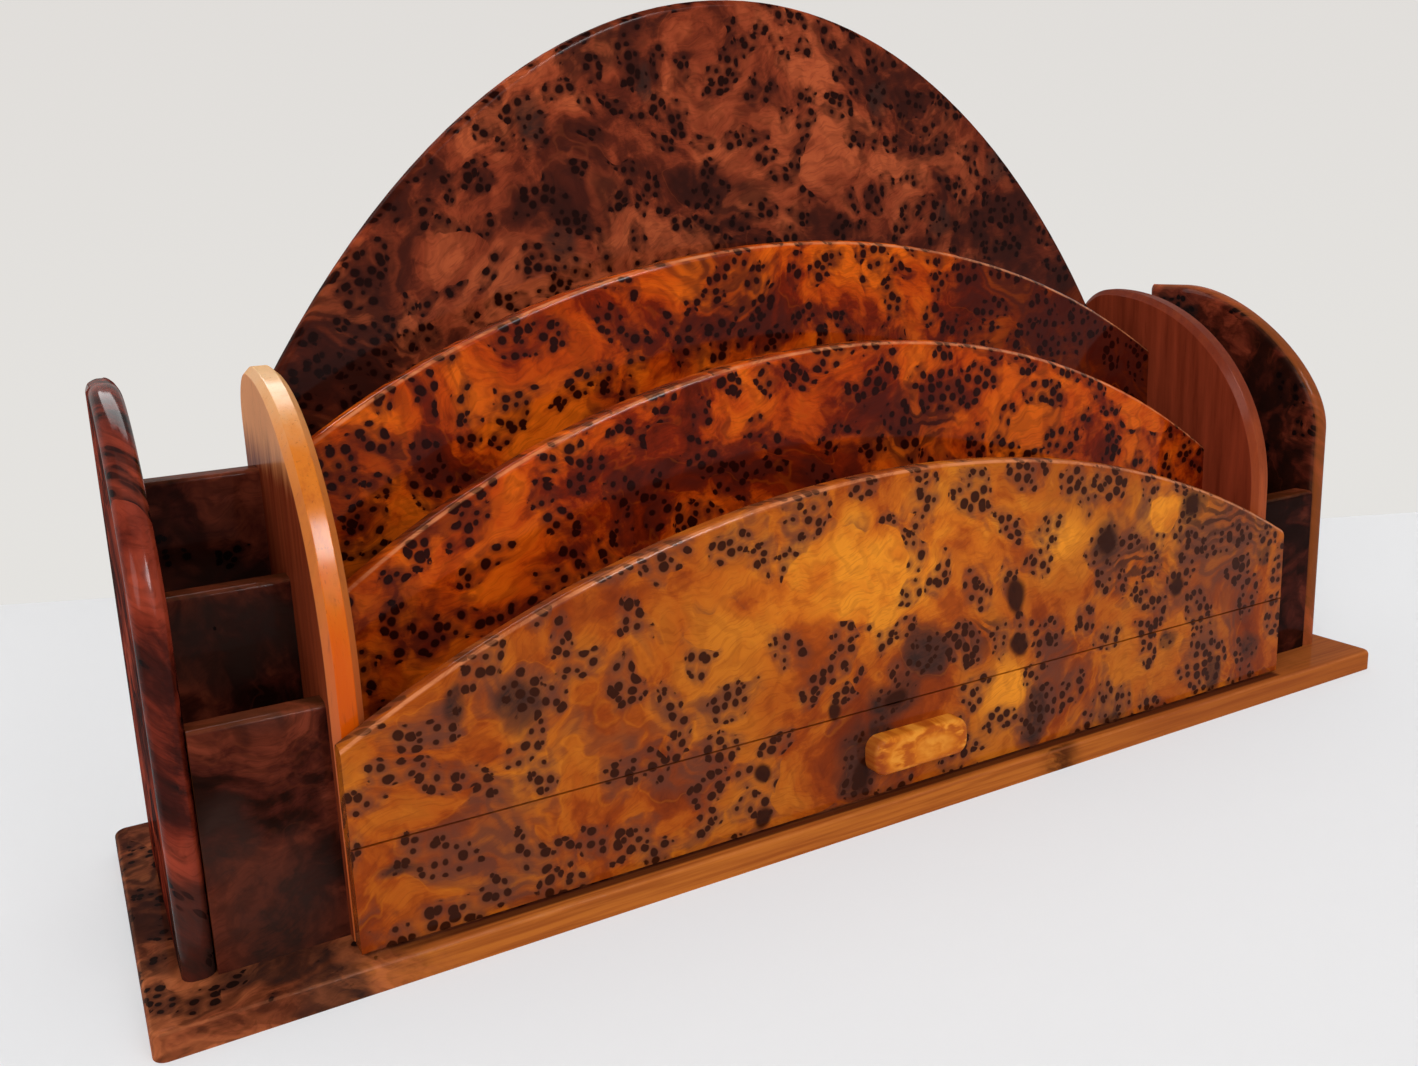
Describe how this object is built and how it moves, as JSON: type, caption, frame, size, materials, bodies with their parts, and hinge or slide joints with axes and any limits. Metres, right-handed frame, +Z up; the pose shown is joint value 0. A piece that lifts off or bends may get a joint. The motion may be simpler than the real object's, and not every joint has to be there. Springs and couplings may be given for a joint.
{
  "type": "letter holder",
  "caption": "Desk letter holder of lacquered burl wood with stepped arched panels forming letter slots, a shallow drawer below them and open pen boxes at both sides.",
  "frame": {"origin": "centre of the base board's underside", "axes": "+Z up, +X along the holder's width to its right as seen from the front, +Y towards its back; the front faces -Y"},
  "size_m": [0.335, 0.0874, 0.1917],
  "materials": {
    "base_burl": "gloss lacquer",
    "cheek_wood": "gloss lacquer",
    "back_burl": "gloss lacquer",
    "rack_burl": "gloss lacquer",
    "front_burl": "gloss lacquer",
    "pen_box_burl": "gloss lacquer",
    "inside_wood": "satin",
    "pull_burl": "gloss lacquer"
  },
  "bodies": {
    "holder": {"base_board": "base_burl", "left_cheek": "cheek_wood", "right_cheek": "cheek_wood", "back_panel": "back_burl", "rear_rack_panel": "rack_burl", "middle_rack_panel": "rack_burl", "front_panel": "front_burl", "slot_floor": "inside_wood", "left_outer_panel": "pen_box_burl", "right_outer_panel": "pen_box_burl", "left_pen_front_wall": "pen_box_burl", "left_pen_middle_wall": "pen_box_burl", "left_pen_back_wall": "pen_box_burl", "right_pen_front_wall": "pen_box_burl", "right_pen_middle_wall": "pen_box_burl", "right_pen_back_wall": "pen_box_burl"},
    "drawer": {"drawer_front": "front_burl", "drawer_left_side": "inside_wood", "drawer_right_side": "inside_wood", "drawer_back": "inside_wood", "drawer_bottom": "inside_wood", "drawer_pull": "pull_burl"}
  },
  "joints": [
    {"name": "drawer_slide", "type": "slide", "parent": "holder", "child": "drawer", "axis": [0, -1, 0], "range_m": [0, 0.045]}
  ]
}
